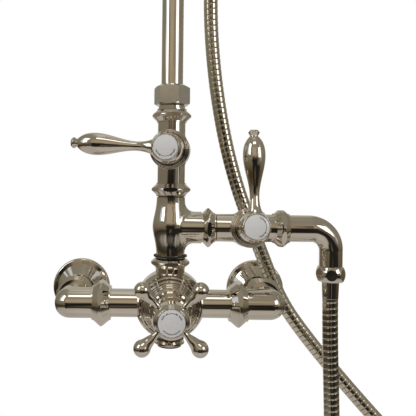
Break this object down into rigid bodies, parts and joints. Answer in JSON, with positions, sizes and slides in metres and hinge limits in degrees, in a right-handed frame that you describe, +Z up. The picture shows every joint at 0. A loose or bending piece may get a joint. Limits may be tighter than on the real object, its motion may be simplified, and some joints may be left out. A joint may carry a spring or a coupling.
{
  "type": "rainfall shower column",
  "caption": "Exposed wall-mounted thermostatic shower column with cross handle, lever valves, riser, overhead rose, hand shower in a cradle and ribbed hose.",
  "frame": {"origin": "on the wall face, midway between the two inlets", "axes": "+Z up, +Y into the wall, +X to the right seen from the front"},
  "size_m": [0.49, 0.56, 1.5289],
  "materials": {
    "nickel": "polished warm nickel on brass",
    "porcelain": "glazed porcelain",
    "rubber": "matt",
    "brass": "machined",
    "plastic": "matt",
    "steel": "machined",
    "hose": "polished warm nickel, wound metal strip"
  },
  "bodies": {
    "column": {"mixer_body": "nickel", "thermostat_cartridge": "brass", "mixer_bonnet": "nickel", "bottom_plug": "nickel", "union_nuts": "nickel", "union_washers": "rubber", "check_valves": "plastic", "tail_nuts": "nickel", "inlet_tails": "nickel", "wall_elbows": "nickel", "wall_flanges": "nickel", "mixer_outlet_nut": "nickel", "tee_seals": "rubber", "tee": "nickel", "branch_nut": "nickel", "rain_inlet_nut": "nickel", "rain_outlet_nut": "nickel", "rain_valve_body": "nickel", "rain_cartridge": "brass", "rain_bonnet": "nickel", "hand_valve_body": "nickel", "hand_cartridge": "brass", "hand_bonnet": "nickel", "hand_outlet_nut": "nickel", "outlet_elbow": "nickel", "outlet_hose_nut": "nickel", "outlet_ferrule": "nickel", "outlet_washer": "rubber", "shower_hose": "hose", "riser_nut": "nickel", "riser_olive": "brass", "riser_tube": "nickel", "wall_bracket": "nickel", "bracket_flange": "nickel", "clamp_screws": "nickel", "arm_coupling": "nickel", "shower_arm": "nickel", "rose_ball": "nickel", "cradle": "nickel"},
    "thermostat": {"thermostat_spindle": "brass", "cross_handle": "nickel", "cross_handle_screw": "steel", "thermostat_button": "porcelain"},
    "rain_handle": {"rain_spindle": "brass", "rain_lever": "nickel", "rain_lever_screw": "steel", "rain_button": "porcelain"},
    "hand_handle": {"hand_spindle": "brass", "hand_lever": "nickel", "hand_lever_screw": "steel", "hand_button": "porcelain"},
    "handset": {"handset_nut": "nickel", "handset_stem": "nickel", "handset_grip": "porcelain", "handset_head": "nickel", "handset_face": "nickel"},
    "rose_joint": {"rose_socket": "nickel"},
    "rose": {"rose_shell": "nickel", "rose_face": "nickel", "rose_nozzles": "rubber"}
  },
  "joints": [
    {"name": "thermostat_turn", "type": "hinge", "parent": "column", "child": "thermostat", "pos_m": [0, -0.08, 0], "axis": [0, -1, 0], "range_deg": [-150, 90]},
    {"name": "rain_lever_turn", "type": "hinge", "parent": "column", "child": "rain_handle", "pos_m": [0, -0.08, 0.1558], "axis": [-0.1392, -0.9903, 0], "range_deg": [0, 90]},
    {"name": "hand_lever_turn", "type": "hinge", "parent": "column", "child": "hand_handle", "pos_m": [0.0784, -0.08, 0.0776], "axis": [0, -0.9945, 0.1045], "range_deg": [-90, 0]},
    {"name": "handset_lift", "type": "slide", "parent": "column", "child": "handset", "axis": [0, 0, 1], "range_m": [0, 0.07]},
    {"name": "rose_tilt", "type": "hinge", "parent": "column", "child": "rose_joint", "pos_m": [0, -0.46, 1.012], "axis": [1, 0, 0], "range_deg": [-15, 15]},
    {"name": "rose_turn", "type": "hinge", "parent": "rose_joint", "child": "rose", "pos_m": [0, -0.46, 1.012], "axis": [0, 0, 1], "continuous": true}
  ]
}
